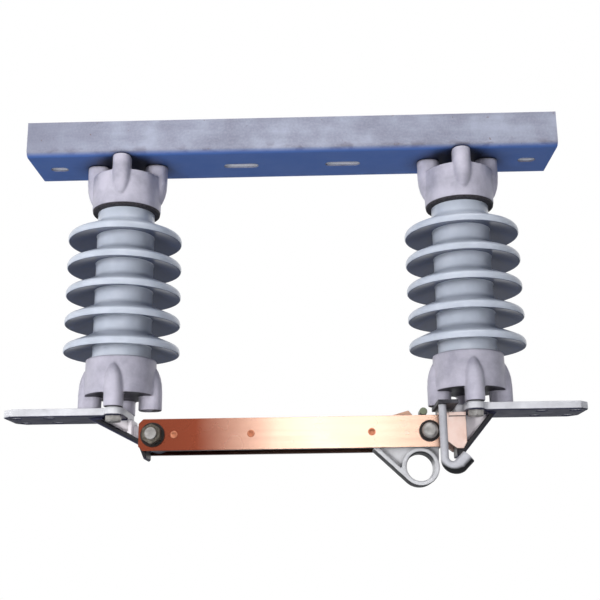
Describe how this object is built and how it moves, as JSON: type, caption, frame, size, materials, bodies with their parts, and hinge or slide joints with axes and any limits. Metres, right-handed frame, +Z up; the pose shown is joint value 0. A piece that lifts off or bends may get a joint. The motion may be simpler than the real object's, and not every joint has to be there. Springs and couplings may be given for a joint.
{
  "type": "hook-operated outdoor disconnect switch, hung under its base channel",
  "caption": "Single-pole outdoor disconnect switch hung under a steel channel: porcelain posts, a double copper blade that swings down from its jaw, a pull ring and a load-break hook.",
  "frame": {"origin": "middle of the front flange's edge, the face that bears against the crossarm or beam above", "axes": "+Z up, out of the mounting face; +X along the channel from the hinge end to the jaw end; +Y from the front to the rear"},
  "size_m": [0.776, 0.1588, 0.5125],
  "materials": {
    "galvanised_channel": "hot-dip galvanised, dull and mottled",
    "porcelain_glaze": "sky-grey glazed porcelain",
    "cap_casting": "galvanised cast iron",
    "cement": "grey cement",
    "bolt_steel": "galvanised steel",
    "bracket_casting": "cast, light grey",
    "copper_bar": "hard-drawn copper, lightly tarnished",
    "copper_contact": "copper, pale tarnish",
    "hook_steel": "galvanised forged steel",
    "ring_casting": "cast, whitish grey"
  },
  "bodies": {
    "base": {"base_channel": "galvanised_channel", "hinge_upper_cap": "cap_casting", "hinge_lower_cap": "cap_casting", "jaw_upper_cap": "cap_casting", "jaw_lower_cap": "cap_casting", "hinge_upper_cement": "cement", "hinge_lower_cement": "cement", "jaw_upper_cement": "cement", "jaw_lower_cement": "cement", "hinge_insulator": "porcelain_glaze", "jaw_insulator": "porcelain_glaze", "hinge_upper_bolts": "bolt_steel", "jaw_upper_bolts": "bolt_steel", "hinge_lower_bolts": "bolt_steel", "jaw_lower_bolts": "bolt_steel", "hinge_bracket": "bracket_casting", "jaw_bracket": "bracket_casting", "jaw_contact_front": "copper_contact", "jaw_contact_rear": "copper_contact", "hook_strap": "hook_steel", "hook_strap_bolt": "bolt_steel", "loadbreak_hook": "hook_steel"},
    "blade": {"blade_front": "copper_bar", "blade_rear": "copper_bar", "blade_spacers": "bolt_steel", "hinge_bolt": "bolt_steel", "hinge_washers": "bolt_steel", "hinge_nut": "bolt_steel", "jaw_end_bolt": "bolt_steel", "jaw_end_washers": "bolt_steel", "latch_sleeves": "bolt_steel"},
    "latch": {"latch_lever": "ring_casting"}
  },
  "joints": [
    {"name": "blade_hinge", "type": "hinge", "parent": "base", "child": "blade", "pos_m": [-0.1865, 0.0476, -0.4425], "axis": [0, 1, 0], "range_deg": [0, 90]},
    {"name": "latch_pivot", "type": "hinge", "parent": "blade", "child": "latch", "pos_m": [0.1778, 0.0476, -0.4425], "axis": [0, -1, 0], "range_deg": [0, 15]}
  ]
}
